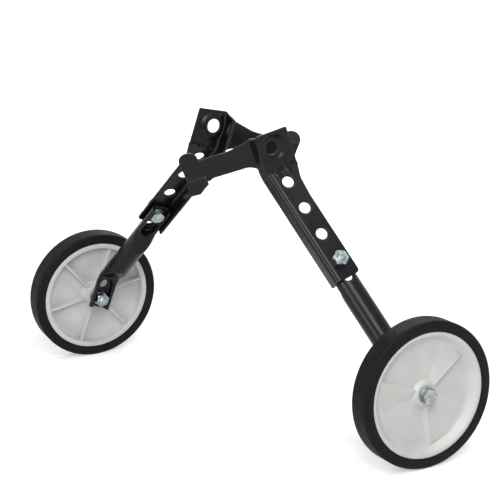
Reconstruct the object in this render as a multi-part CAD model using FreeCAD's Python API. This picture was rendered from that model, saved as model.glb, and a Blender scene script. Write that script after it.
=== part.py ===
import FreeCAD
import Part
import math
import os

os.makedirs("parts", exist_ok=True)
Vec = FreeCAD.Vector

# Where the pair stands: X runs along the bicycle's axle, Z is up, the tyres stand on Z = 0
plate_outer_x = 54.7        # middle of the bicycle to the outer face of each plate
bracket_lean = 19.0         # degrees the plate and arm lean from the vertical, seen from the side
arm_splay = 37.9            # degrees the arm is bent out of the plate
foot_splay = 3.2            # degrees the foot still leans out after it is bent back
axle_to_wheel_down = 198.8  # axle hole to wheel centre, down the plate
axle_to_wheel_out = 132.0   # axle hole to wheel centre, outwards

# Bracket, pressed from one sheet
sheet = 2.5
axle_hole_d = 12.5
cup_rim_d = 25.0
cup_floor_d = 17.5
cup_depth = 2.4
cup_back_extra = 1.2        # radius the cup's back stands round its hollow
plate_rear = 17.4           # axle hole to the rear edge
plate_top_rear = 12.4       # height of the top edge at the rear corner
plate_top_front = 15.6      # height of the top edge over the front fold
plate_drop = 19.6           # axle hole to the bend line
bend_r = 5.0                # inner radius of the bend and outer radius of the front fold
flange_x = 13.0             # axle hole to the front face of the flange
flange_depth = 16.0
arm_rear = 10.8
arm_length = 109.5
arm_corner_r = 3.0
arm_neck = 20.0             # length over which the plate narrows to the arm
height_hole_d = 10.2
height_hole_first = 13.15
height_hole_pitch = 26.5
height_hole_count = 4
gusset_x = (-3.6, 7.0)
gusset_reach = 2.6          # bend line to the full height of each rib
gusset_w = 4.4
gusset_rise = 1.25          # how far the ribs stand out of the sheet
gusset_dent_w = 2.2         # dent that the punch leaves behind each rib
gusset_skin = 0.6           # how much farther in than the rib the dent starts

# Hook band that rests against the bicycle's stay
band_inward = 27.0          # degrees the band turns inwards
band_length = 62.7
band_fold_r = 2.5
band_top = 5.4
band_bottom = -14.0
band_root_top = 9.9         # height of the band where it leaves the flange
flange_top = 13.4           # height of the flange's top edge at the front fold
ear_d = 16.8
ear_r = 7.6
ear_top = 15.8
ear_tilt = 20.0
lip_bottom = -21.0
lip_blank = 15.0            # width of the curled sheet that the lip's outline is cut from
lip_tilt = 42.0
tip_start = 43.0            # where the ear and the lip begin

# Leg, a tube pressed in at both ends
tube_d = 21.0
tube_wall = 2.0
press_flat_depth = 1.0      # how deep the narrow outer flat goes
press_depth = 10.0          # depth left at the pressed ends
press_floor = 3.6           # two walls lying on each other
press_length = 33.0          # length of the hollow side of the upper end
flat_past_arm = 1.5         # how far the outer flat runs past the arm's end
press_run = 22.0            # length over which the round tube becomes flat
leg_end_margin = 9.5
leg_hole_pitch = 15.0
foot_bend_r = 26.0

# Wheel
tyre_d = 127.0
tyre_w = 20.0
tyre_seat_d = 104.0
tyre_shoulder_r = 1.2
groove_w = 1.1
groove_depth = 0.9
groove_pitch = 3.6
groove_count = 5
rim_lip_step = 2.2          # how far the rim lip covers the tyre
rim_lip_w = 1.8
rim_wall = 2.6
rim_bevel = 1.8             # width of the rim lip's flat face
cove_w = 8.0                # width of the cove from the lip's face down to the dish floor
dish_floor = 2.5            # dish floor's distance out from the wheel's middle plane
dish_wall = 2.6
boss_d = 20.0
boss_face = 5.6
hub_d = 21.0
hub_stand = 0.5             # how far the hub stands out of the tyre's inner side
ridge_count = 3
ridge_start = 18.0          # degrees from the rearward direction to the first ridge
ridge_flank_front = 44.0    # degrees from each ridge's crest to its foot, one side
ridge_flank_back = 33.0     # and the other
ridge_h = 2.2               # crest over the dish floor at the rim
rib_count = 6
rib_w = 2.2

# Fasteners, M8
thread_d = 8.0
hex_w = 12.0                # across the flats of heads and nuts
head_h = 5.3
nut_h = 6.5
nut_collar_d = 11.4
nut_collar_h = 1.6
nut_collar_edge = 0.7
inner_washer_d = 16.0
outer_washer_d = 14.6
washer_t = 1.6
bolt_past_nut = 2.3
sleeve_wall = 1.85

# Clearances
turning_gap = 0.08          # wheel bore round the sleeve, on the radius
side_gap = 0.3              # wheel boss to washers, each side
slot_gap = 0.9              # pressed slot to each side of a head
washer_slot_gap = 0.2       # washer in the pressed slot, on the radius
leg_hole_gap = 0.4          # bolt in the leg's holes, on the radius
washer_gap = 0.2            # bolt in a washer, on the radius
sleeve_gap = 0.15           # bolt in the sleeve, on the radius

# What follows from these
bend_tangent = bend_r * math.tan(math.radians(arm_splay / 2))
height_bolt_at = height_hole_first + height_hole_pitch * (height_hole_count - 1)
leg_start = height_bolt_at - leg_end_margin
flat_length = arm_length + flat_past_arm - leg_start
leg_hole_d = thread_d + 2 * leg_hole_gap
press_slot_w = hex_w + 2 * slot_gap
slot_washer_d = press_slot_w - 2 * washer_slot_gap
washer_hole_d = thread_d + 2 * washer_gap
sleeve_hole_d = thread_d + 2 * sleeve_gap
sleeve_d = sleeve_hole_d + 2 * sleeve_wall
rim_lip_d = tyre_seat_d + 2 * rim_lip_step
hub_inner = tyre_w / 2 + hub_stand
foot_face = hub_inner + side_gap + washer_t


def local_frame():
    lean = math.radians(bracket_lean)
    ex = Vec(0, math.cos(lean), math.sin(lean))
    ey = Vec(0, -math.sin(lean), math.cos(lean))
    ez = Vec(1, 0, 0)
    return ex, ey, ez


def axle_height():
    # The wheel's lowest point has to reach the ground
    ex, ey, ez = local_frame()
    normal = ey * math.sin(math.radians(foot_splay)) + ez * math.cos(math.radians(foot_splay))
    slope = abs(normal.z)
    half = tyre_w / 2 - tyre_shoulder_r
    edge_r = tyre_d / 2
    low = edge_r * math.sqrt(1 - slope * slope) + half * slope
    return axle_to_wheel_down * ey.z + low - axle_to_wheel_out * ez.z


def to_world(shape):
    # Local axes: x rearwards along the plate, y up the plate, z outwards; origin in the axle hole
    ex, ey, ez = local_frame()
    m = FreeCAD.Matrix(
        ex.x, ey.x, ez.x, plate_outer_x,
        ex.y, ey.y, ez.y, 0,
        ex.z, ey.z, ez.z, axle_height(),
        0, 0, 0, 1)
    out = shape.copy()
    out.Placement = FreeCAD.Placement(m).multiply(out.Placement)
    return out


def rounded_face(corners):
    # Closed outline from (point, radius) corners, each corner replaced by an arc
    n = len(corners)
    arcs = []
    for i in range(n):
        p, r = corners[i]
        a = (corners[i - 1][0] - p).normalize()
        b = (corners[(i + 1) % n][0] - p).normalize()
        if r <= 0:
            arcs.append((p, None, p))
            continue
        half = a.getAngle(b) / 2
        reach = r / math.tan(half)
        mid = (a + b).normalize()
        centre = p + mid * (r / math.sin(half))
        arcs.append((p + a * reach, centre - mid * r, p + b * reach))
    edges = []
    for i in range(n):
        start, mid, end = arcs[i]
        if mid is not None:
            edges.append(Part.Arc(start, mid, end).toShape())
        nxt = arcs[(i + 1) % n][0]
        if end.distanceToPoint(nxt) > 1e-6:
            edges.append(Part.makeLine(end, nxt))
    return Part.Face(Part.Wire(edges))


def cylinder(d, start, length, direction):
    return Part.makeCylinder(d / 2, length, start, direction)


def arm_point(along, out, across=0.0):
    # A point on the arm: along it from the bend line, outwards from its outer face, rearwards
    s = math.radians(arm_splay)
    return Vec(across,
               -plate_drop - along * math.cos(s) + out * math.sin(s),
               along * math.sin(s) + out * math.cos(s))


def arm_dir():
    s = math.radians(arm_splay)
    return Vec(0, -math.cos(s), math.sin(s))


def arm_out():
    s = math.radians(arm_splay)
    return Vec(0, math.sin(s), math.cos(s))


def angle_section(rear, depth, y):
    # Web and front flange cut square to the plate, at height y
    pts = [(Vec(rear, y, 0), 0),
           (Vec(-flange_x, y, 0), bend_r),
           (Vec(-flange_x, y, -depth), 0),
           (Vec(-flange_x + sheet, y, -depth), 0),
           (Vec(-flange_x + sheet, y, -sheet), bend_r - sheet),
           (Vec(rear, y, -sheet), 0)]
    return rounded_face(pts)


def plate_and_arm():
    y0 = -plate_drop + bend_tangent
    section = angle_section(plate_rear, flange_depth, y0)
    top = plate_top_front + 6
    plate = section.extrude(Vec(0, top - y0, 0))
    # The top edge slopes down to the rear
    cut = rounded_face([(Vec(-30, plate_top_front + 1.2, 10), 0),
                        (Vec(-flange_x + 3, plate_top_front, 10), 0),
                        (Vec(plate_rear, plate_top_rear, 10), 0),
                        (Vec(30, plate_top_rear - 1.5, 10), 0),
                        (Vec(30, 40, 10), 0),
                        (Vec(-30, 40, 10), 0)])
    plate = plate.cut(cut.extrude(Vec(0, 0, -40)))
    axis = Vec(0, y0, bend_r)
    bend = section.revolve(axis, Vec(-1, 0, 0), arm_splay)
    end = section.copy()
    end.rotate(axis, Vec(-1, 0, 0), arm_splay)
    arm = end.extrude(arm_dir() * (arm_length - bend_tangent))
    # The rear edge narrows from the plate's width to the arm's
    trim = rounded_face([(arm_point(1.5, 5, plate_rear), 4),
                         (arm_point(arm_neck * 0.75, 5, arm_rear + 1.4), 16),
                         (arm_point(arm_neck * 1.6, 5, arm_rear), 20),
                         (arm_point(arm_length + 10, 5, arm_rear), 0),
                         (arm_point(arm_length + 10, 5, 40), 0),
                         (arm_point(1.5, 5, 40), 0)])
    arm = arm.cut(trim.extrude(arm_out() * -30))
    # The rear corner of the arm's end is round
    centre = arm_point(arm_length - arm_corner_r, 5, arm_rear - arm_corner_r)
    rearwards = Vec(2 * arm_corner_r, 0, 0)
    onwards = arm_dir() * (2 * arm_corner_r)
    square = Part.Face(Part.makePolygon([centre, centre + rearwards, centre + rearwards + onwards,
                                         centre + onwards, centre]))
    corner = square.extrude(arm_out() * -30).cut(cylinder(2 * arm_corner_r, centre, 30, arm_out() * -1))
    arm = arm.cut(corner)
    return plate.fuse([bend, arm])


def above_flange():
    # What is cut away over the flange's top edge, which falls from the fold to the band
    fall = rounded_face([(Vec(-flange_x - 8, flange_top + 6, 6), 0),
                         (Vec(-flange_x - 8, flange_top + 1.2, -1.5), 3),
                         (Vec(-flange_x - 8, band_root_top + 1.0, -flange_depth), 3),
                         (Vec(-flange_x - 8, band_root_top - 2.0, -flange_depth - 20), 0),
                         (Vec(-flange_x - 8, 40, -flange_depth - 20), 0),
                         (Vec(-flange_x - 8, 40, 6), 0)])
    return fall.extrude(Vec(8 + sheet, 0, 0))


def band_frame():
    a = math.radians(band_inward)
    along = Vec(-math.cos(a), 0, -math.sin(a))
    out = Vec(-math.sin(a), 0, math.cos(a))
    corner = Vec(-flange_x, 0, -flange_depth)
    return corner, along, out


def band_point(s, y, out=0.0):
    corner, along, n = band_frame()
    return corner + along * s + n * out + Vec(0, y, 0)


def band():
    corner, along, n = band_frame()
    a = math.radians(band_inward)
    # Inner corner: the flange's inner face meets the band's inner face
    inner_z = -flange_depth - sheet * math.cos(a) + sheet * (1 - math.sin(a)) * math.tan(a)
    low = lip_bottom - 12
    high = plate_top_front + 4
    strip = rounded_face([(Vec(-flange_x, low, -flange_depth + 6), 0),
                          (Vec(-flange_x, low, -flange_depth), band_fold_r),
                          (band_point(tip_start, low), 0),
                          (band_point(tip_start, low, -sheet), 0),
                          (Vec(-flange_x + sheet, low, inner_z), band_fold_r + sheet),
                          (Vec(-flange_x + sheet, low, -flange_depth + 6), 0)])
    strip = strip.extrude(Vec(0, high - low, 0))
    # The tip in cross-section: ear tilted out, flat band, lip curled out
    ear = math.radians(ear_tilt)
    lip = math.radians(lip_tilt)
    ear_len = ear_top - band_top + 1.5
    y_ear = band_top + 0.5
    y_lip = band_bottom + 4.5
    s0 = tip_start

    def p(y, o):
        return band_point(s0, y, o)

    ear_end = (y_ear + ear_len * math.cos(ear), ear_len * math.sin(ear))
    lip_end = (y_lip - lip_blank * math.cos(lip), lip_blank * math.sin(lip))
    tip = rounded_face([(p(*ear_end), 0),
                        (p(y_ear, 0), 5),
                        (p(y_lip, 0), 7),
                        (p(*lip_end), 0),
                        (p(lip_end[0] - sheet * math.sin(lip), lip_end[1] - sheet * math.cos(lip)), 0),
                        (p(y_lip - sheet * math.tan(lip / 2), -sheet), 7 + sheet),
                        (p(y_ear + sheet * math.tan(ear / 2), -sheet), 5 + sheet),
                        (p(ear_end[0] + sheet * math.sin(ear), ear_end[1] - sheet * math.cos(ear)), 0)])
    tip = tip.extrude(along * (band_length - tip_start + 5))
    # The outline of the blank, seen square to the band
    o = 30
    left = band_length
    bend_start = -plate_drop + bend_tangent
    outline = rounded_face([(band_point(-12, plate_top_front + 8, o), 0),
                            (band_point(-12, bend_start, o), 0),
                            (band_point(-1.2, bend_start, o), 0),
                            (band_point(6.0, band_bottom, o), 10),
                            (band_point(tip_start - 5, band_bottom, o), 6),
                            (band_point(tip_start + 4, band_bottom - 4, o), 5),
                            (band_point(tip_start + 9, lip_bottom, o), 5),
                            (band_point(left - 1.2, lip_bottom + 0.5, o), 2.5),
                            (band_point(left - 2.2, band_bottom + 4, o), 8),
                            (band_point(left, ear_top, o), ear_r),
                            (band_point(left - ear_d, ear_top, o), ear_r),
                            (band_point(left - ear_d, band_top, o), 1.8),
                            (band_point(18, band_top, o), 30),
                            (band_point(-0.5, band_root_top, o), 3),
                            (band_point(-6, plate_top_front + 8, o), 0)])
    blank = outline.extrude(n * (-2 * o))
    return strip.fuse(tip).common(blank)


def cup():
    # Round cup pressed inwards round the axle hole
    r0 = cup_rim_d / 2
    r1 = cup_floor_d / 2
    wide = r0 + cup_back_extra
    back = Part.makeCone(wide, r1 + cup_back_extra, cup_depth, Vec(0, 0, -sheet), Vec(0, 0, -1))
    # The front of it is buried in the flange and ends there
    front = -flange_x + sheet / 2
    back = back.cut(Part.makeBox(wide, 2 * wide, 4 * sheet, Vec(front - wide, -wide, -5 * sheet)))
    hollow = Part.makeCone(r0, r1, cup_depth, Vec(0, 0, 0), Vec(0, 0, -1))
    return back, hollow


def gussets():
    # Two ribs pressed out across the bend, with the dents they leave behind
    ribs = []
    dents = []
    s = math.radians(arm_splay / 2)
    inward = Vec(0, -math.sin(s), -math.cos(s))
    for x in gusset_x:
        a = Vec(x, -plate_drop + gusset_reach, gusset_rise - gusset_w / 2)
        b = arm_point(gusset_reach, gusset_rise - gusset_w / 2, x)
        line = b - a
        # Each rib runs on into the sheet, so that it fades out at both ends
        fade = line * (gusset_rise / math.sin(s) / line.Length)
        rib = cylinder(gusset_w, a - fade, (line + fade * 2).Length, line)
        ribs.append(rib)
        start = a + line * 0.28 + inward * gusset_skin
        run = line * 0.44
        dent = cylinder(gusset_dent_w, start, run.Length, line)
        dents.append(dent.fuse(rounded_box(start, run, inward * 8, gusset_dent_w)))
    return ribs, dents


def rounded_box(start, run, depth, width):
    half = Vec(width / 2, 0, 0)
    face = Part.Face(Part.makePolygon([start - half, start + half, start + half + run,
                                       start - half + run, start - half]))
    return face.extrude(depth)


def bracket():
    body = plate_and_arm().fuse(band()).cut(above_flange())
    back, hollow = cup()
    ribs, dents = gussets()
    # Ribs stand only on the outer side of the sheet
    behind = behind_sheet()
    body = body.fuse(back)
    for rib in ribs:
        body = body.fuse(rib.cut(behind))
    body = body.cut(hollow)
    for dent in dents:
        body = body.cut(dent)
    body = body.cut(cylinder(axle_hole_d, Vec(0, 0, 5), 20, Vec(0, 0, -1)))
    for i in range(height_hole_count):
        at = height_hole_first + i * height_hole_pitch
        body = body.cut(cylinder(height_hole_d, arm_point(at, 2), 2 + sheet + 1, arm_out() * -1))
    return body.removeSplitter()


def behind_sheet():
    # Everything inwards of the sheet's middle, either side of the bend
    m = sheet / 2
    s = math.radians(arm_splay)
    corner = Vec(-30, -plate_drop - m * math.tan(s / 2), -m)
    up = corner + Vec(0, 30, 0)
    down = corner + arm_dir() * 30
    face = Part.Face(Part.makePolygon([corner, up, up + Vec(0, 0, -25),
                                       corner + Vec(0, -18, -25), down + arm_out() * -12, down, corner]))
    return face.extrude(Vec(60, 0, 0))


def leg_lines():
    # The leg's outer face runs along the arm's inner face, then down past the wheel's inner side
    f = math.radians(foot_splay)
    foot_dir = Vec(0, -math.cos(f), math.sin(f))
    foot_out = Vec(0, math.sin(f), math.cos(f))
    wheel = wheel_centre()
    foot_axle = wheel - foot_out * foot_face
    start = arm_point(0, -sheet)
    d = arm_dir()
    # Where the two lines meet, in the y-z plane
    det = d.y * -foot_dir.z - d.z * -foot_dir.y
    dy = foot_axle.y - start.y
    dz = foot_axle.z - start.z
    run = (dy * -foot_dir.z - dz * -foot_dir.y) / det
    vertex = start + d * run
    return start, d, vertex, foot_dir, foot_out, foot_axle, run


def wheel_centre():
    return Vec(0, -axle_to_wheel_down, axle_to_wheel_out)


def leg_section(origin, out):
    # Pressed section: the tube's outer half with a narrow flat that lies at the origin
    r = tube_d / 2
    near = press_flat_depth
    far = near + press_depth
    x_near = math.sqrt(r * r - (r - near) ** 2)
    x_far = math.sqrt(r * r - (r - far) ** 2)
    axis = origin + out * near - out * r

    def p(x, depth):
        return origin + out * near - out * depth + Vec(x, 0, 0)

    side = Vec(r, 0, 0)
    edges = [Part.makeLine(p(-x_near, near), p(x_near, near)),
             Part.Arc(p(x_near, near), axis + side, p(x_far, far)).toShape(),
             Part.makeLine(p(x_far, far), p(-x_far, far)),
             Part.Arc(p(-x_far, far), axis - side, p(-x_near, near)).toShape()]
    return Part.Face(Part.Wire(edges))


def side_prism(points):
    # Prism right across the leg from an outline in its side view
    shift = Vec(-tube_d, 0, 0)
    loop = [q + shift for q in points]
    return Part.Face(Part.makePolygon(loop + loop[:1])).extrude(Vec(2 * tube_d, 0, 0))


def press_cuts(origin, d, out, length, flat_run):
    # Material pressed away from the round tube, from its end at the origin along d: flat outside, hollow inside
    high = origin + out * (tube_d / 2)
    fade = press_flat_depth * 2
    flat = side_prism([origin - d, high - d, high + d * flat_run,
                       origin + out * press_flat_depth + d * (flat_run + fade), origin + d * flat_run])
    deep = origin - out * press_depth
    under = origin - out * (1.5 * tube_d)
    ramp_end = origin - out * tube_d + d * (length + press_run)
    inner = side_prism([deep - d, deep + d * length, ramp_end, under + d * (length + press_run), under - d])
    return [flat, inner]


def pocket(origin, d, out, length):
    # The hollow the press leaves on the inner side, open at the end, round where it stops
    half = Vec(press_slot_w / 2, 0, 0)
    a = origin - d * 3 - out * press_floor
    b = origin + d * length - out * press_floor
    slot = Part.Face(Part.makePolygon([a - half, a + half, b + half, b - half, a - half])).extrude(out * -tube_d)
    return slot.fuse(cylinder(press_slot_w, b, tube_d, out * -1))


def leg():
    start, d, vertex, foot_dir, foot_out, foot_axle, run = leg_lines()
    out = arm_out()
    turn = arm_splay - foot_splay
    tangent = foot_bend_r * math.tan(math.radians(turn / 2))
    bend_at = run - tangent
    top = start + d * leg_start
    bend_start = start + d * bend_at
    round_len = bend_at - leg_start
    shift = out * (press_flat_depth - tube_d / 2)
    straight = cylinder(tube_d, top + shift, round_len, d)
    for cut in press_cuts(top, d, out, press_length, flat_length) + press_cuts(bend_start, d * -1, out, 0, 0):
        straight = straight.cut(cut)
    # Foot, bent back about an axis on the inner side
    centre = bend_start - out * foot_bend_r
    bend = leg_section(bend_start, out).revolve(centre, Vec(1, 0, 0), turn)
    foot_top = vertex + foot_dir * tangent
    foot_len = foot_top.distanceToPoint(foot_axle) + leg_end_margin
    foot = leg_section(foot_top, foot_out).extrude(foot_dir * foot_len)
    body = straight.fuse([bend, foot])
    # Bore of the tube between its pressed ends
    bore_from = leg_start + press_length + press_run
    bore_len = bend_at - press_run - bore_from
    body = body.cut(cylinder(tube_d - 2 * tube_wall, start + d * bore_from + shift, bore_len, d))
    reach = leg_end_margin + leg_hole_pitch
    foot_end = foot_axle + foot_dir * leg_end_margin
    body = body.cut(pocket(top, d, out, reach + 4))
    body = body.cut(pocket(foot_end, foot_dir * -1, foot_out, reach))
    for i in range(2):
        step = leg_end_margin + i * leg_hole_pitch
        body = body.cut(cylinder(leg_hole_d, top + d * step + out * 3, 12, out * -1))
        body = body.cut(cylinder(leg_hole_d, foot_end - foot_dir * step + foot_out * 3, 12, foot_out * -1))
    return body.removeSplitter()


def hexagon(width, height, start, direction):
    # Hexagonal prism with its corners turned off at the far end
    r = width / math.sqrt(3)
    turns = [math.radians(30 + 60 * i) for i in range(7)]
    pts = [Vec(r * math.cos(t), r * math.sin(t), 0) for t in turns]
    prism = Part.Face(Part.makePolygon(pts)).extrude(Vec(0, 0, height))
    low = Part.makeCylinder(r + 0.02, height - 0.9)
    top = Part.makeCone(r + 0.02, width / 2 - 0.25, 0.9, Vec(0, 0, height - 0.9), Vec(0, 0, 1))
    prism = prism.common(low.fuse(top))
    prism.Placement = FreeCAD.Placement(start, FreeCAD.Rotation(Vec(0, 0, 1), direction))
    return prism


def hex_bolt(seat, direction, length):
    # Head on the seat, shank pointing the other way
    head = hexagon(hex_w, head_h, seat, direction)
    tip = 0.8
    shank = cylinder(thread_d, seat, length - tip, direction * -1)
    end = seat - direction * (length - tip)
    point = Part.makeCone(thread_d / 2, thread_d / 2 - tip, tip, end, direction * -1)
    return head.fuse([shank, point]).removeSplitter()


def lock_nut(seat, direction):
    # Hexagon with the round collar that holds the locking ring
    body = hexagon(hex_w, nut_h, seat, direction)
    r = nut_collar_d / 2
    straight = nut_collar_h - nut_collar_edge
    collar = cylinder(nut_collar_d, seat + direction * nut_h, straight, direction)
    edge = Part.makeCone(r, r - nut_collar_edge, nut_collar_edge, seat + direction * (nut_h + straight), direction)
    bore = cylinder(thread_d, seat - direction, nut_h + nut_collar_h + 3, direction)
    return body.fuse([collar, edge]).cut(bore).removeSplitter()


def washer(outer, seat, direction):
    ring = cylinder(outer, seat, washer_t, direction)
    return ring.cut(cylinder(washer_hole_d, seat - direction, washer_t + 2, direction))


def height_fixing():
    out = arm_out()
    inner_seat = arm_point(height_bolt_at, -sheet - press_floor)
    under_head = inner_seat - out * washer_t
    length = washer_t + press_floor + sheet + nut_h + nut_collar_h + bolt_past_nut
    return {"height_washer": washer(slot_washer_d, inner_seat, out * -1),
            "height_bolt": hex_bolt(under_head, out * -1, length),
            "height_nut": lock_nut(arm_point(height_bolt_at, 0), out)}


def revolve_profile(pts):
    # Profile given as (radius, distance outwards), turned about the wheel's axle
    wire = Part.makePolygon([Vec(r, 0, w) for r, w in pts + pts[:1]])
    return Part.Face(wire).revolve(Vec(0, 0, 0), Vec(0, 0, 1), 360)


def tyre():
    r = tyre_d / 2
    h = tyre_w / 2
    c = tyre_shoulder_r
    seat = tyre_seat_d / 2
    lip = rim_lip_d / 2
    pts = [(seat, -h + rim_lip_w), (lip, -h + rim_lip_w), (lip, -h + 0.3), (lip + 1.5, -h), (r - c, -h),
           (r, -h + c)]
    first = -(groove_count - 1) / 2 * groove_pitch
    for i in range(groove_count):
        w = first + i * groove_pitch
        pts += [(r, w - groove_w / 2), (r - groove_depth, w), (r, w + groove_w / 2)]
    pts += [(r, h - c), (r - c, h), (lip + 1.5, h), (lip, h - 0.3), (lip, h - rim_lip_w), (seat, h - rim_lip_w)]
    return revolve_profile(pts)


def wheel_disc():
    h = tyre_w / 2
    seat = tyre_seat_d / 2
    lip = rim_lip_d / 2
    face = h - 0.5
    bore = sleeve_d / 2 + turning_gap
    lip_in = seat - rim_wall
    bevel_r = lip - 0.6 - rim_bevel
    floor_r = bevel_r - cove_w
    pts = [(bore, -hub_inner), (hub_d / 2 - 0.6, -hub_inner), (hub_d / 2, -hub_inner + 0.6),
           (hub_d / 2 + 1.0, dish_floor - dish_wall - 1), (hub_d / 2 + 2, dish_floor - dish_wall),
           (floor_r - 1, dish_floor - dish_wall), (lip_in, dish_floor - dish_wall - 0.6),
           (lip_in, -face), (lip - 0.5, -face), (lip, -h + rim_lip_w), (seat, -h + rim_lip_w),
           (seat, h - rim_lip_w), (lip, h - rim_lip_w), (lip, face - 0.5), (lip - 0.6, face),
           (bevel_r, face), (bevel_r - cove_w * 0.3, face - 1.4),
           (bevel_r - cove_w * 0.65, (face + dish_floor) / 2 - 1.2), (floor_r, dish_floor), (boss_d / 2 + 2.4, dish_floor), (boss_d / 2 + 0.6, boss_face - 0.8),
           (boss_d / 2, boss_face - 0.3), (boss_d / 2 - 0.8, boss_face), (bore, boss_face)]
    body = revolve_profile(pts)
    # Raised ridges on the outer side, highest at the boss
    dish = cylinder(2 * floor_r, Vec(0, 0, dish_floor - dish_wall / 2), tyre_w, Vec(0, 0, 1))
    widest = math.radians(max(ridge_flank_front, ridge_flank_back))
    roof = ridge(boss_d / 2 * math.cos(widest), floor_r).common(dish)
    for i in range(ridge_count):
        body = body.fuse(spoke(roof, ridge_start + i * 360 / ridge_count))
    # Straight ribs on the inner side
    for i in range(rib_count):
        rib = Part.makeBox(seat - rim_wall / 2 - hub_d / 2 + 0.8, rib_w, hub_inner - 3 + dish_floor - dish_wall / 2,
                           Vec(hub_d / 2 - 0.8, -rib_w / 2, -hub_inner + 3))
        body = body.fuse(spoke(rib, 30 + i * 360 / rib_count))
    return body.removeSplitter()


def ridge(r0, r1):
    # Roof-shaped ridge whose flanks are as wide as the same angle of the disc at every radius
    base = dish_floor - 0.4
    front = math.tan(math.radians(ridge_flank_front))
    back = math.tan(math.radians(ridge_flank_back))

    def roof(r, top):
        return Part.makePolygon([Vec(r, -r * front, base), Vec(r, 0, top), Vec(r, r * back, base),
                                 Vec(r, -r * front, base)])

    return Part.makeLoft([roof(r0, boss_face - 0.3), roof(r1, dish_floor + ridge_h)], True, True)


def spoke(shape, angle):
    out = shape.copy()
    out.rotate(Vec(0, 0, 0), Vec(0, 0, 1), angle)
    return out


def wheel_pieces():
    # Built with the axle along z, then set on the foot
    z = Vec(0, 0, 1)
    outer_seat = boss_face + side_gap
    inner_end = -hub_inner - side_gap
    head_seat = outer_seat + washer_t
    foot_inner = -foot_face - press_floor
    sleeve = cylinder(sleeve_d, Vec(0, 0, inner_end), outer_seat - inner_end, z)
    sleeve = sleeve.cut(cylinder(sleeve_hole_d, Vec(0, 0, inner_end - 1), outer_seat - inner_end + 2, z))
    length = head_seat - foot_inner + washer_t + nut_h + nut_collar_h + bolt_past_nut
    pieces = {"wheel_disc": wheel_disc(),
              "tyre": tyre(),
              "axle_sleeve": sleeve,
              "axle_outer_washer": washer(outer_washer_d, Vec(0, 0, outer_seat), z),
              "axle_inner_washer": washer(inner_washer_d, Vec(0, 0, inner_end), z * -1),
              "axle_foot_washer": washer(slot_washer_d, Vec(0, 0, foot_inner), z * -1),
              "axle_nut": lock_nut(Vec(0, 0, foot_inner - washer_t), z * -1),
              "axle_bolt": hex_bolt(Vec(0, 0, head_seat), z, length)}
    placed = {}
    for name, shape in pieces.items():
        out = shape.copy()
        # Turn the axle from square-to-the-plate to square-to-the-foot
        out.rotate(Vec(0, 0, 0), Vec(1, 0, 0), -foot_splay)
        out.translate(wheel_centre())
        placed[name] = out
    return placed


def stabiliser():
    pieces = {"bracket": bracket(), "leg": leg()}
    pieces.update(height_fixing())
    pieces.update(wheel_pieces())
    return pieces


def write_pair():
    for name, shape in stabiliser().items():
        right = to_world(shape)
        left = right.copy()
        left.rotate(Vec(0, 0, 0), Vec(0, 0, 1), 180)
        right.exportStep("parts/right_%s.step" % name)
        left.exportStep("parts/left_%s.step" % name)


write_pair()
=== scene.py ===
# %% [markdown]
# # A pair of training wheels
# Each side is a pressed steel bracket with a hook, a tube leg that bolts on at one of four heights and a small
# wheel. The shapes and places come from the part's own frame, so this lesson is about finish: how the
# edges, coats, threads and mouldings of such a product are made to look right in Blender.

# %% Load the frame
import math
import bpy
import bmesh
from mathutils import Matrix, Vector


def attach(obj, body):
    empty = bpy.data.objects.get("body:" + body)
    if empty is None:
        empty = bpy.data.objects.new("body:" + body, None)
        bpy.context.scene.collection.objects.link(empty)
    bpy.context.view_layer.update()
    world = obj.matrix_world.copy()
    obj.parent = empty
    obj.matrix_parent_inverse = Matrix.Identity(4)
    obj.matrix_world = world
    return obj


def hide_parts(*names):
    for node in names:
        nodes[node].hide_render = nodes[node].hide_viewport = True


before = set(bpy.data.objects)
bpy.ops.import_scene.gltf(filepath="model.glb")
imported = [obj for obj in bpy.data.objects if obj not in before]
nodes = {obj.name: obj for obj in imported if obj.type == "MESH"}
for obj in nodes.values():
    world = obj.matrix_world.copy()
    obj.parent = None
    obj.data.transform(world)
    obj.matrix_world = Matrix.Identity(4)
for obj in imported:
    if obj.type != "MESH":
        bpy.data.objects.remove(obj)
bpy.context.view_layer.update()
sides = ("right", "left")
print("nodes in the frame:", len(nodes))

# %% [markdown]
# ## Writing shader maths as Python
# A material is a graph of nodes, and long graphs are hard to read as code. Here one small class holds an output
# of a node and lets Python's own operators add the Math nodes, and one method adds any other kind of node.

# %% A socket that can be added and multiplied


class Value:
    def __init__(self, finish, socket):
        self.finish = finish
        self.socket = socket

    def maths(self, operation, first, second):
        return self.finish.node("ShaderNodeMath", {"operation": operation}, {0: first, 1: second})

    def __add__(self, other):
        return self.maths("ADD", self, other)

    __radd__ = __add__

    def __sub__(self, other):
        return self.maths("SUBTRACT", self, other)

    def __rsub__(self, other):
        return self.maths("SUBTRACT", other, self)

    def __mul__(self, other):
        return self.maths("MULTIPLY", self, other)

    __rmul__ = __mul__


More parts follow.
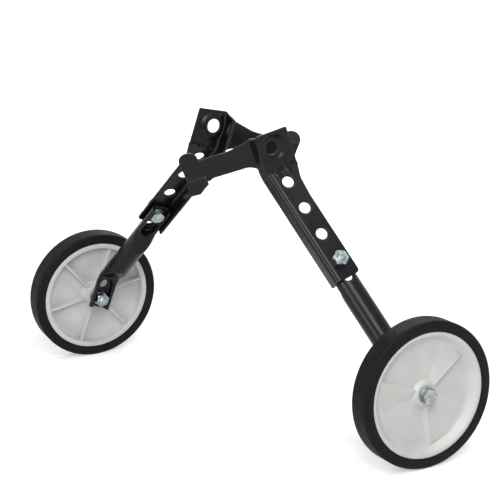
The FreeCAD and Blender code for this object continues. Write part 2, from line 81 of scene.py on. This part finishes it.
class Finish:
    def __init__(self, name, **constants):
        self.material = bpy.data.materials.new(name)
        self.material.use_nodes = True
        self.tree = self.material.node_tree
        self.surface = self.tree.nodes["Principled BSDF"]
        for socket, value in constants.items():
            self.surface.inputs[socket.replace("_", " ")].default_value = value
        self.place = self.node("ShaderNodeTexCoord", output="Object")

    def node(self, kind, settings=None, inputs=None, output=0):
        made = self.tree.nodes.new(kind)
        for name, value in (settings or {}).items():
            if name == "stops":
                self.set_stops(made.color_ramp, value)
            else:
                setattr(made, name, value)
        for name, value in (inputs or {}).items():
            self.feed(made.inputs[name], value)
        return Value(self, made.outputs[output])

    def set_stops(self, ramp, stops):
        while len(ramp.elements) < len(stops):
            ramp.elements.new(0.5)
        for element, (position, colour) in zip(ramp.elements, stops):
            element.position = position
            element.color = (*colour, 1.0)

    def feed(self, socket, value):
        if isinstance(value, Value):
            self.tree.links.new(value.socket, socket)
        else:
            socket.default_value = value

    def noise(self, scale, detail=2.0, roughness=0.5, place=None):
        return self.node("ShaderNodeTexNoise", None,
                         {"Vector": place or self.place, "Scale": scale, "Detail": detail, "Roughness": roughness})

    def ramp(self, factor, low, high, low_value=0.0, high_value=1.0):
        return self.node("ShaderNodeMapRange", {"interpolation_type": "SMOOTHSTEP"},
                         {"Value": factor, "From Min": low, "From Max": high, "To Min": low_value,
                          "To Max": high_value})

    def blend(self, factor, first, second):
        colours = {6: (*first, 1.0) if isinstance(first, tuple) else first,
                   7: (*second, 1.0) if isinstance(second, tuple) else second}
        return self.node("ShaderNodeMix", {"data_type": "RGBA"}, {0: factor, **colours}, output=2)

    def bump(self, height, distance, strength=1.0, under=None):
        inputs = {"Height": height, "Distance": distance, "Strength": strength}
        if under:
            inputs["Normal"] = under
        return self.node("ShaderNodeBump", None, inputs)

    def paint(self, **sockets):
        for socket, value in sockets.items():
            self.feed(self.surface.inputs[socket.replace("_", " ")], value)
        return self.material


# %% [markdown]
# ## Black powder coat
# The bracket and the leg are steel with a baked powder coat. The powder melts into a skin about 0.1 mm
# thick, glossy but never quite flat: its "orange peel" has soft waves 1 to 2 mm wide. A low bump of two noises
# makes them, and a slow third noise shifts the gloss a little, as a real coat does.

# %% Powder coat
coat_black = (0.003, 0.003, 0.0032)


def powder_coat():
    finish = Finish("black_powder_coat", IOR=1.29)
    peel = finish.noise(650.0, 2.0) + 0.4 * finish.noise(1900.0, 1.0)
    patches = finish.noise(45.0, 3.0)
    gloss = finish.ramp(patches, 0.3, 0.7, 0.22, 0.3)
    tone = finish.blend(finish.ramp(patches, 0.35, 0.7), coat_black, (0.0045, 0.0045, 0.0048))
    return finish.paint(Base_Color=tone, Roughness=gloss, Normal=finish.bump(peel, 0.00006, 0.6))


coat = powder_coat()
print("made", coat.name)

# %% [markdown]
# ## Zinc plate
# Bolts, nuts and washers are bright zinc with a thin blue-white passivation. They are tumbled in barrels while
# they are plated, so their gloss is uneven and full of tiny dents, which a stretched noise and a fine one give.

# %% Zinc


def zinc_plate():
    finish = Finish("zinc_plate", Metallic=1.0)
    cloud = finish.noise(160.0, 4.0, 0.6)
    dents = finish.noise(1500.0, 3.0)
    tint = finish.blend(finish.ramp(cloud, 0.35, 0.65), (0.24, 0.28, 0.29), (0.42, 0.46, 0.47))
    gloss = finish.ramp(cloud + 0.3 * dents, 0.45, 0.85, 0.24, 0.42)
    return finish.paint(Base_Color=tint, Roughness=gloss, Normal=finish.bump(dents, 0.00004, 0.5))


zinc = zinc_plate()
print("made", zinc.name)

# %% [markdown]
# ## White polypropylene
# The wheel's disc is injection moulded. The plastic lets a little light in, which softens its shading, and it
# flowed out from the middle while it cooled, so a very faint cloud runs through its gloss.

# %% Wheel plastic


def wheel_plastic():
    finish = Finish("white_polypropylene", IOR=1.49, Subsurface_Weight=0.12, Subsurface_Scale=0.002)
    cloud = finish.noise(60.0, 3.0)
    grain = finish.noise(2400.0, 2.0)
    tone = finish.blend(finish.ramp(cloud, 0.3, 0.7), (0.52, 0.517, 0.505), (0.56, 0.557, 0.547))
    gloss = finish.ramp(cloud + 0.2 * grain, 0.4, 0.8, 0.36, 0.46)
    return finish.paint(Base_Color=tone, Roughness=gloss, Normal=finish.bump(grain, 0.00003, 0.4))


plastic = wheel_plastic()
print("made", plastic.name)

# %% [markdown]
# ## Black rubber
# Moulded rubber is matte, with a fine grain and a greyish bloom that rises to its surface in patches.

# %% Rubber


def tyre_rubber():
    finish = Finish("black_rubber", IOR=1.22)
    bloom = finish.noise(70.0, 4.0, 0.6)
    grain = finish.noise(2600.0, 3.0)
    tone = finish.blend(finish.ramp(bloom, 0.4, 0.75), (0.004, 0.004, 0.0042), (0.007, 0.007, 0.0073))
    gloss = finish.ramp(bloom, 0.3, 0.7, 0.46, 0.58)
    return finish.paint(Base_Color=tone, Roughness=gloss, Normal=finish.bump(grain, 0.00005, 0.5))


rubber = tyre_rubber()
print("made", rubber.name)

# %% [markdown]
# ## Nylon ring
# The ring in the collar of a locking nut is hard nylon, pressed in, and it grips the thread.

# %% Nylon
nylon_finish = Finish("nylon_ring", IOR=1.53)
nylon_cloud = nylon_finish.ramp(nylon_finish.noise(300.0, 2.0), 0.3, 0.7, 0.35, 0.5)
nylon = nylon_finish.paint(Base_Color=(0.35, 0.40, 0.46, 1.0), Roughness=nylon_cloud)
print("made", nylon.name)

# %% [markdown]
# ## The frame's own pieces
# Every piece of the frame gets the finish it has on the real object, also those that a finer mesh stands in for.

# %% Give the frame's own pieces their materials


def wear(node, material):
    node.data.materials.clear()
    node.data.materials.append(material)


for name, node in nodes.items():
    if name.endswith(("bracket", "leg")):
        wear(node, coat)
    elif name.endswith("wheel_disc"):
        wear(node, plastic)
    elif name.endswith("tyre"):
        wear(node, rubber)
    else:
        wear(node, zinc)
print("pieces given a finish:", len(nodes))

# %% [markdown]
# ## Where the pieces go
# The plate leans back by 19 degrees, the arm is bent out by 37.9 and the foot back to 3.2. A turned or hexagonal
# piece is easiest to draw in millimetres round its own axis, so each seat on the object is written as one matrix
# that carries such a drawing to its place. The left side is the right side turned half round.

# %% Seats on the object
axle_height_m = 0.251845
lean = math.radians(19.0)
arm_angle = math.radians(37.9)
foot_angle = math.radians(3.2)
axle_hole = Vector((0.0547, 0.0, axle_height_m))
rearwards = Vector((0.0, math.cos(lean), math.sin(lean)))
upwards = Vector((0.0, -math.sin(lean), math.cos(lean)))


def on_bracket(back, up, out):
    return axle_hole + (rearwards * back + upwards * up + Vector((out, 0, 0))) * 0.001


def tilted(angle):
    return upwards * math.sin(angle) + Vector((math.cos(angle), 0, 0))


def seat(origin, out):
    turn = Matrix((rearwards, out.cross(rearwards), out)).transposed().to_4x4()
    return Matrix.Translation(origin) @ turn @ Matrix.Scale(0.001, 4)


def arm_seat(along, out):
    return seat(on_bracket(0, -19.6 - along * math.cos(arm_angle) + out * math.sin(arm_angle),
                           along * math.sin(arm_angle) + out * math.cos(arm_angle)), tilted(arm_angle))


wheel_seat = seat(on_bracket(0, -198.8, 132.0), tilted(foot_angle))
half_turn = {"right": Matrix.Identity(4), "left": Matrix.Rotation(math.pi, 4, "Z")}
print("wheel centre:", [round(c, 4) for c in wheel_seat.translation])

# %% [markdown]
# ## Turning a drawing into a piece
# Most pieces here are turned on a lathe or moulded in a round tool. A closed outline is drawn once as radius and
# height, its corners are rounded while it is still flat, and spin sweeps it round. That needs one bevel for a
# whole ring of edges, and the rounded corners are what catch the light.

# %% Outline, spin and finish


def outline(bm, corners, soft=0.25):
    points = [bm.verts.new((radius, 0, height)) for radius, height in corners]
    edges = [bm.edges.new((points[i - 1], points[i])) for i in range(len(points))]
    if soft:
        bmesh.ops.bevel(bm, geom=points, offset=soft, affect="VERTICES", segments=3, profile=0.5, material=-1)
    return list(bm.verts), list(bm.edges)


def turned(corners, soft=0.25, steps=96):
    bm = bmesh.new()
    points, edges = outline(bm, corners, soft)
    bmesh.ops.spin(bm, geom=points + edges, cent=(0, 0, 0), axis=(0, 0, 1), angle=2 * math.pi, steps=steps,
                   use_merge=True)
    bmesh.ops.remove_doubles(bm, verts=bm.verts, dist=0.001)
    bmesh.ops.recalc_face_normals(bm, faces=bm.faces)
    return bm


def add_to(bm, extra):
    mesh = bpy.data.meshes.new("part")
    extra.to_mesh(mesh)
    extra.free()
    bm.from_mesh(mesh)
    bpy.data.meshes.remove(mesh)
    return bm


def shown(name, bm):
    mesh = bpy.data.meshes.new(name)
    bm.to_mesh(mesh)
    bm.free()
    made = bpy.data.objects.new(name, mesh)
    bpy.context.scene.collection.objects.link(made)
    return made


def settle(made, angle=35.0):
    # Bake the modifiers into a mesh of its own
    depsgraph = bpy.context.evaluated_depsgraph_get()
    mesh = bpy.data.meshes.new_from_object(made.evaluated_get(depsgraph))
    made.modifiers.clear()
    made.data = mesh
    mesh.shade_smooth()
    mesh.set_sharp_from_angle(angle=math.radians(angle))
    return made


def fit(name, bm, place, side, body, node, materials, angle=35.0):
    bmesh.ops.transform(bm, matrix=half_turn[side] @ place, verts=bm.verts)
    made = settle(shown(side + "_" + name, bm), angle)
    for material in materials:
        made.data.materials.append(material)
    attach(made, body)
    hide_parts(side + "_" + node)
    return made


print("helpers ready")

# %% [markdown]
# ## Pressed steel: bracket and leg
# A brake press leaves no sharp corner: every bend, pressed rib and cut edge is round, and the coat rounds it
# more. Bevelling so many meeting edges by hand goes wrong, so a copy of the frame's mesh is wrapped in a fine
# even skin with a voxel remesh, and smoothing passes then round every edge at once, as the coat does. Smoothing
# also shrinks a round tube a little, so the leg's plain length is set back to its true radius at the end.
# The skin keeps only outer surfaces: the tube's closed bore, which can't be seen, isn't in it.

# %% Wrap and soften
skin_step = 0.0007
tube_radius = 0.0105


def softened(node, passes):
    bm = bmesh.new()
    bm.from_mesh(nodes[node].data)
    bmesh.ops.remove_doubles(bm, verts=bm.verts, dist=0.00001)
    made = shown(node + "_soft", bm)
    wrap = made.modifiers.new("wrap", "REMESH")
    wrap.mode = "VOXEL"
    wrap.voxel_size = skin_step
    smooth = made.modifiers.new("smooth", "SMOOTH")
    smooth.factor = 0.5
    smooth.iterations = passes
    settle(made, 60.0)
    return made


along_arm = (arm_seat(1, 0).translation - arm_seat(0, 0).translation).normalized()
hollow_end = arm_seat(83.15 + 36.0, 0).translation
blend_above = 0.093
round_above = 0.095
plain_from, plain_to = 0.035, 0.05
round_reach = 0.0005


def run_out(bm, side, passes):
    # The press marks of the leg fade away, beyond its hollow end and above its foot
    unturned = half_turn[side].inverted()
    beyond = [v for v in bm.verts if (unturned @ v.co - hollow_end).dot(along_arm) > 0
              and (unturned @ v.co).z > blend_above]
    for _ in range(passes):
        bmesh.ops.smooth_vert(bm, verts=beyond, factor=0.5, use_axis_x=True, use_axis_y=True, use_axis_z=True)


def true_tube(bm, side):
    # The tube's middle is found from a length that nothing was pressed into
    line = half_turn[side] @ along_arm
    start = half_turn[side] @ hollow_end

    def level(v):
        return (v.co - start).dot(line)

    plain = [v for v in bm.verts if plain_from < level(v) < plain_to]
    centre = sum((v.co - line * level(v) for v in plain), Vector()) / len(plain)
    radius = max((v.co - line * level(v) - centre).length for v in plain)
    print("tube radius found:", round(radius * 1000, 3), "points:", len(plain))
    for v in bm.verts:
        across = v.co - line * level(v) - centre
        if level(v) > 0 and v.co.z > round_above and abs(across.length - tube_radius) < round_reach:
            v.co += across.normalized() * (tube_radius - across.length)


def pressed(side, node, passes):
    made = softened(side + "_" + node, passes)
    if node == "leg":
        bm = bmesh.new()
        bm.from_mesh(made.data)
        run_out(bm, side, 16)
        true_tube(bm, side)
        bm.to_mesh(made.data)
        bm.free()
    made.data.shade_smooth()
    wear(made, coat)
    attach(made, "frame")
    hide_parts(side + "_" + node)
    print(made.name, "faces:", len(made.data.polygons))


for side in sides:
    pressed(side, "bracket", 3)
    pressed(side, "leg", 4)

# %% [markdown]
# ## Rubber tyre
# The tyre is a solid ring, moulded in two halves. Its outline has five shallow grooves in the tread, round
# shoulders and a fine step on each side wall.

# %% Tyre
tyre_radius = 63.5
tyre_half = 10.0


def tyre(side):
    side_wall = [(52.0, 8.2), (54.2, 8.2), (54.3, 9.6), (55.2, 10.0), (58.2, 10.0), (58.6, 9.75), (60.8, 9.75),
                 (62.5, 9.4), (63.35, 8.7)]
    grooves = []
    for centre in (7.2, 3.6, 0.0, -3.6, -7.2):
        grooves += [(tyre_radius, centre + 0.62), (tyre_radius - 0.95, centre + 0.2),
                    (tyre_radius - 0.95, centre - 0.2), (tyre_radius, centre - 0.62)]
    back_wall = [(radius, -height) for radius, height in reversed(side_wall)]
    bm = turned(side_wall + grooves + back_wall, 0.14, 160)
    fit("tyre_ring", bm, wheel_seat, side, side + "_wheel", "tyre", [rubber], 50.0)


for side in sides:
    tyre(side)
print("tyres turned, radius", tyre_radius)

# %% [markdown]
# ## Moulded disc
# Three ridges stiffen the outer face. Each rises gently to a fine crest that runs from the boss to the rim, and
# on its other side drops steeply into a shallow scoop. The disc is spun with many rings, and each point of the
# outer face is then lifted or lowered by the angle between it and each crest. The inner face has six ribs.

# %% Disc
floor_height = 2.5
boss_height = 5.6
crest_at_rim = 2.2
floor_radius = 43.8
crests = (18.0, 138.0, 258.0)
flank_front = 44.0
flank_back = 33.0
scoop_at_boss = 1.5
scoop_at_rim = 0.8
wall_width = 2.4
bead_height = 0.25
bead_width = 0.7


def ridge_height(radius, angle):
    along = min(max((radius - 10.0) / (floor_radius - 10.0), 0.0), 1.0)
    crest = (boss_height - 0.3 - floor_height) * (1 - along) + crest_at_rim * along
    scoop = scoop_at_boss * (1 - along) + scoop_at_rim * along
    height = 0.0
    for at in crests:
        off = (angle - at + 180.0) % 360.0 - 180.0
        arc = math.radians(off) * radius
        if 0 <= off < flank_back:
            height += crest * (1 - off / flank_back)
        elif -flank_front < off < 0:
            wall = min(max(1 + arc / wall_width, 0.0), 1.0)
            wall = wall * wall * (3 - 2 * wall)
            low = -scoop * (1 + off / flank_front)
            height += low * (1 - wall) + crest * wall
        height += bead_height * math.exp(-(arc / bead_width) ** 2)
    return height


def lift_ridges(bm):
    for v in bm.verts:
        radius = math.hypot(v.co.x, v.co.y)
        if 10.2 < radius < 49.0 and v.co.z > 1.0:
            fade = min(max((49.0 - radius) / 5.2, 0.0), 1.0)
            height = ridge_height(radius, math.degrees(math.atan2(v.co.y, v.co.x))) * fade
            if v.co.z < floor_height + 0.05:
                v.co.z = floor_height + height
            else:
                v.co.z = max(v.co.z, floor_height + height)


def rib(bm, angle):
    made = bmesh.ops.create_cube(bm, size=1.0)["verts"]
    bmesh.ops.scale(bm, vec=(41.0, 2.2, 8.7), verts=made)
    bmesh.ops.translate(bm, vec=(30.2, 0, -3.15), verts=made)
    edges = list({e for v in made for e in v.link_edges})
    bevelled = bmesh.ops.bevel(bm, geom=edges, offset=0.45, affect="EDGES", segments=2, profile=0.5, material=-1)
    turned_verts = list({v for f in bevelled["faces"] for v in f.verts})
    bmesh.ops.rotate(bm, cent=(0, 0, 0), matrix=Matrix.Rotation(math.radians(angle), 3, "Z"), verts=turned_verts)


def ejector_mark(bm, angle):
    made = bmesh.ops.create_cone(bm, cap_ends=True, segments=24, radius1=2.6, radius2=2.6, depth=0.5)["verts"]
    bmesh.ops.translate(bm, vec=(30.0, 0, -0.1), verts=made)
    bmesh.ops.rotate(bm, cent=(0, 0, 0), matrix=Matrix.Rotation(math.radians(angle), 3, "Z"), verts=made)


def disc(side):
    bm = bmesh.new()
    corners = [(6.08, -10.5), (10.5, -10.5), (11.5, -1.1), (12.5, -0.1), (42.8, -0.1), (49.4, -0.7), (49.4, -9.5),
               (54.1, -9.5), (54.2, -8.2), (52.0, -8.2), (52.0, 8.2), (54.2, 8.2), (54.2, 9.4), (52.0, 9.55),
               (50.4, 8.6), (48.2, 5.6), (46.4, 3.4), (floor_radius, floor_height), (12.4, floor_height),
               (10.6, 4.8), (9.6, boss_height), (6.08, boss_height)]
    outline(bm, corners, 0.35)
    wide = [e for e in bm.edges if e.calc_length() > 20.0]
    bmesh.ops.subdivide_edges(bm, edges=wide, cuts=22)
    bmesh.ops.spin(bm, geom=list(bm.verts) + list(bm.edges), cent=(0, 0, 0), axis=(0, 0, 1), angle=2 * math.pi,
                   steps=288, use_merge=True)
    bmesh.ops.remove_doubles(bm, verts=bm.verts, dist=0.001)
    bmesh.ops.recalc_face_normals(bm, faces=bm.faces)
    lift_ridges(bm)
    for i in range(6):
        rib(bm, 30 + 60 * i)
        ejector_mark(bm, 60 * i)
    fit("moulded_disc", bm, wheel_seat, side, side + "_wheel", "wheel_disc", [plastic], 40.0)


for side in sides:
    disc(side)
print("discs moulded")

# %% [markdown]
# ## Bolts and nuts
# A hexagon head is a hexagonal bar whose corners were turned off at 30 degrees, which leaves an arc at the top of
# each flat. That arc comes by itself when a hexagonal prism and a turned blank are intersected with a Boolean.
# The thread that shows past the nut is one small tooth, spun round with a rise for each step.

# %% Hexagons
across_flats = 12.0


def hexagonal(blank, low, high):
    bar = bmesh.new()
    bmesh.ops.create_cone(bar, cap_ends=True, segments=6, radius1=across_flats / math.sqrt(3),
                          radius2=across_flats / math.sqrt(3), depth=high - low)
    bmesh.ops.translate(bar, vec=(0, 0, (high + low) / 2), verts=bar.verts)
    bmesh.ops.bevel(bar, geom=[e for e in bar.edges if abs(e.verts[0].co.z - e.verts[1].co.z) > 1], offset=0.3,
                    affect="EDGES", segments=2, profile=0.5, material=-1)
    body = shown("bar", bar)
    tool = shown("blank", blank)
    both = body.modifiers.new("turned", "BOOLEAN")
    both.operation = "INTERSECT"
    both.solver = "EXACT"
    both.object = tool
    settle(body)
    bm = bmesh.new()
    bm.from_mesh(body.data)
    bpy.data.objects.remove(body)
    bpy.data.objects.remove(tool)
    return bm


def threaded_end(low, high):
    # Core with a helical tooth, 1.25 mm to a turn
    bm = turned([(0.01, low), (3.45, low), (3.45, high - 0.6), (2.9, high), (0.01, high)], 0.1, 48)
    tooth = bmesh.new()
    turns = max(int((high - low - 1.3) / 1.25), 1)
    points, edges = outline(tooth, [(3.4, low), (3.4, low + 1.15), (3.95, low + 0.65), (3.95, low + 0.5)], 0)
    bmesh.ops.spin(tooth, geom=points + edges, cent=(0, 0, 0), axis=(0, 0, 1), angle=2 * math.pi * turns,
                   steps=32 * turns, dvec=(0, 0, 1.25 / 32))
    bmesh.ops.holes_fill(tooth, edges=tooth.edges)
    bmesh.ops.recalc_face_normals(tooth, faces=tooth.faces)
    return add_to(bm, tooth)


def bolt_drawing(length):
    # Seat at height 0, head above it, shank below
    blank = turned([(0.01, 0), (6.35, 0), (6.95, 0.35), (6.95, 4.55), (6.35, 5.0), (5.6, 5.3), (4.2, 5.3),
                    (3.6, 5.05), (0.01, 5.05)], 0.12)
    bm = hexagonal(blank, -0.1, 5.4)
    shank_end = length - 8.0
    add_to(bm, turned([(0.01, 0.2), (4.0, 0.2), (4.0, -shank_end), (0.01, -shank_end)], 0.0, 48))
    thread = threaded_end(0, 8.0)
    bmesh.ops.rotate(thread, cent=(0, 0, 0), matrix=Matrix.Rotation(math.pi, 3, "X"), verts=thread.verts)
    bmesh.ops.translate(thread, vec=(0, 0, -shank_end), verts=thread.verts)
    return add_to(bm, thread)


def nut_drawing():
    # Seat at height 0: hexagon 6.5 high, and the collar with its nylon ring above
    blank = turned([(4.02, 0), (6.3, 0), (6.95, 0.4), (6.95, 5.9), (6.2, 6.5), (4.02, 6.5)], 0.1)
    bm = hexagonal(blank, -0.1, 6.6)
    return add_to(bm, turned([(4.9, 6.3), (5.7, 6.3), (5.7, 7.5), (5.2, 8.05), (4.9, 7.95)], 0.22, 64))


def nylon_ring():
    return turned([(4.01, 6.4), (4.95, 6.4), (4.95, 7.7), (4.3, 7.8), (4.01, 7.6)], 0.12, 64)


print("hexagon across flats:", across_flats)

# %% [markdown]
# Each bolt goes through what it holds: the height bolt from the inner side, the axle bolt from the outer side.
# Flipping a drawing over turns its axis round without mirroring it, so the thread stays right-handed.

# %% Set the fasteners
flip = Matrix.Rotation(math.pi, 4, "X")
foot_inner = -(10.5 + 0.3 + 1.6) - 3.6
outer_seat = 5.6 + 0.3


def washer_drawing(outer, height=1.6):
    return turned([(4.2, 0), (outer / 2, 0), (outer / 2, height), (4.2, height)], 0.28, 72)


def at(place, height, over=False):
    return place @ Matrix.Translation((0, 0, height)) @ (flip if over else Matrix.Identity(4))


def zinc_piece(name, bm, place, side, node):
    fit(name, bm, place, side, "frame", node, [zinc])


def white_ring(place, side, name):
    bm = nylon_ring()
    bmesh.ops.transform(bm, matrix=half_turn[side] @ place, verts=bm.verts)
    made = settle(shown(side + "_" + name, bm))
    made.data.materials.append(nylon)
    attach(made, "frame")


arm_hole = arm_seat(92.65, 0)
for side in sides:
    height_length = 1.6 + 3.6 + 2.5 + 6.5 + 1.6 + 2.3
    zinc_piece("height_bolt_m8", bolt_drawing(height_length), at(arm_hole, -2.5 - 3.6 - 1.6, True), side,
               "height_bolt")
    zinc_piece("height_washer_m8", washer_drawing(13.4), at(arm_hole, -2.5 - 3.6 - 1.6), side, "height_washer")
    zinc_piece("height_nut_m8", nut_drawing(), at(arm_hole, 0), side, "height_nut")
    white_ring(at(arm_hole, 0), side, "height_nut_ring")
    axle_length = outer_seat + 1.6 - foot_inner + 1.6 + 6.5 + 1.6 + 2.3
    zinc_piece("axle_bolt_m8", bolt_drawing(axle_length), at(wheel_seat, outer_seat + 1.6), side, "axle_bolt")
    zinc_piece("axle_outer_washer_m8", washer_drawing(14.6), at(wheel_seat, outer_seat), side, "axle_outer_washer")
    zinc_piece("axle_inner_washer_m8", washer_drawing(16.0), at(wheel_seat, -12.4), side, "axle_inner_washer")
    zinc_piece("axle_foot_washer_m8", washer_drawing(13.4), at(wheel_seat, foot_inner - 1.6), side,
               "axle_foot_washer")
    zinc_piece("axle_nut_m8", nut_drawing(), at(wheel_seat, foot_inner - 1.6, True), side, "axle_nut")
    white_ring(at(wheel_seat, foot_inner - 1.6, True), side, "axle_nut_ring")
    zinc_piece("axle_tube", turned([(4.15, -10.8), (6.0, -10.8), (6.0, 5.9), (4.15, 5.9)], 0.2), wheel_seat, side,
               "axle_sleeve")
print("fasteners set on both sides")

# %% [markdown]
# ## Camera
# A photograph's view is rebuilt from a few facts: the lens, the compass bearing and height of the camera, and
# how far it stands off. They were found by lining up the axle holes, the bolt holes and the wheels.

# %% Camera
bearing = math.radians(-30.1)
height_angle = math.radians(16.97)
stand_off = 1.22488
slide_right = -0.0075
slide_up = 0.0996
camera_aim_height = 0.25184

away = Vector((math.cos(bearing) * math.cos(height_angle), math.sin(bearing) * math.cos(height_angle),
               math.sin(height_angle)))
to_right = Vector((-math.sin(bearing), math.cos(bearing), 0))
to_top = away.cross(to_right)
view = bpy.data.cameras.new("camera")
view.lens = 100.8
view.sensor_width = 36.0
view.clip_end = 50.0
camera = bpy.data.objects.new("camera", view)
bpy.context.scene.collection.objects.link(camera)
turn = Matrix((to_right, to_top, away)).transposed().to_4x4()
camera.matrix_world = Matrix.Translation(Vector((0, 0, camera_aim_height)) + away * stand_off
                                         - to_right * slide_right - to_top * slide_up) @ turn
bpy.context.scene.camera = camera
print("camera stands at", [round(c, 3) for c in camera.matrix_world.translation])

# %% [markdown]
# ## Floor
# A plain pale floor catches the shadows. Light Path makes its glow show only to the camera and in reflections, and
# the glow grows away from the middle, so the floor turns white there and lights nothing.

# %% Floor


def pale_floor():
    bm = bmesh.new()
    bmesh.ops.create_grid(bm, x_segments=1, y_segments=1, size=16.0)
    mesh = bpy.data.meshes.new("floor")
    bm.to_mesh(mesh)
    bm.free()
    floor = bpy.data.objects.new("floor", mesh)
    bpy.context.scene.collection.objects.link(floor)
    finish = Finish("pale_floor", Roughness=0.9, Emission_Strength=1.0)
    seen = finish.node("ShaderNodeLightPath", output=0)
    for other in (3, 6):
        seen = finish.node("ShaderNodeMath", {"operation": "MAXIMUM"},
                           {0: seen, 1: finish.node("ShaderNodeLightPath", output=other)})
    away_from_middle = finish.node("ShaderNodeVectorMath", {"operation": "LENGTH"}, {0: finish.place}, output=1)
    glow = finish.ramp(away_from_middle, 0.2, 1.7, 0.42, 0.97)
    far = finish.blend(glow, (0.0, 0.0, 0.0), (1.0, 1.0, 1.0))
    mesh.materials.append(finish.paint(Base_Color=(0.86, 0.86, 0.86, 1.0),
                                       Emission_Color=finish.blend(seen, (0.0, 0.0, 0.0), far)))


pale_floor()
print("floor laid")

# %% [markdown]
# ## Light
# Black gloss shows only what it reflects, so the lamps are soft panels whose reflections draw the shapes. The
# surround is white to the camera and in reflections, and only a dim fill for everything else.

# %% Light


def panel(name, place, target, size, power):
    lamp = bpy.data.lights.new(name, "AREA")
    lamp.shape = "RECTANGLE"
    lamp.size = size[0]
    lamp.size_y = size[1]
    lamp.energy = power
    made = bpy.data.objects.new(name, lamp)
    bpy.context.scene.collection.objects.link(made)
    made.location = place
    made.rotation_euler = (Vector(target) - Vector(place)).to_track_quat("-Z", "Y").to_euler()


middle = (0.05, 0.0, 0.14)
panel("key", (1.12, -0.55, 1.06), middle, (0.6, 0.75), 13.0)
panel("overhead", (0.5, 0.17, 1.32), middle, (0.3, 0.3), 4.0)
panel("from_left", (0.45, -1.35, 0.3), middle, (0.4, 0.6), 5.5)
panel("behind", (-1.1, 0.6, 0.9), middle, (0.6, 0.6), 5.0)

world = bpy.data.worlds.new("studio")
bpy.context.scene.world = world
world.use_nodes = True
sky = world.node_tree
background = sky.nodes["Background"]
background.inputs["Color"].default_value = (1.0, 1.0, 1.0, 1.0)
path = sky.nodes.new("ShaderNodeLightPath")
shown_white = path.outputs["Is Camera Ray"]
for other in ("Is Glossy Ray", "Is Transmission Ray"):
    either = sky.nodes.new("ShaderNodeMath")
    either.operation = "MAXIMUM"
    sky.links.new(shown_white, either.inputs[0])
    sky.links.new(path.outputs[other], either.inputs[1])
    shown_white = either.outputs[0]
strength = sky.nodes.new("ShaderNodeMapRange")
strength.inputs["To Min"].default_value = 0.3
strength.inputs["To Max"].default_value = 1.0
sky.links.new(shown_white, strength.inputs["Value"])
sky.links.new(strength.outputs["Result"], background.inputs["Strength"])
bpy.context.scene.view_settings.view_transform = "Standard"
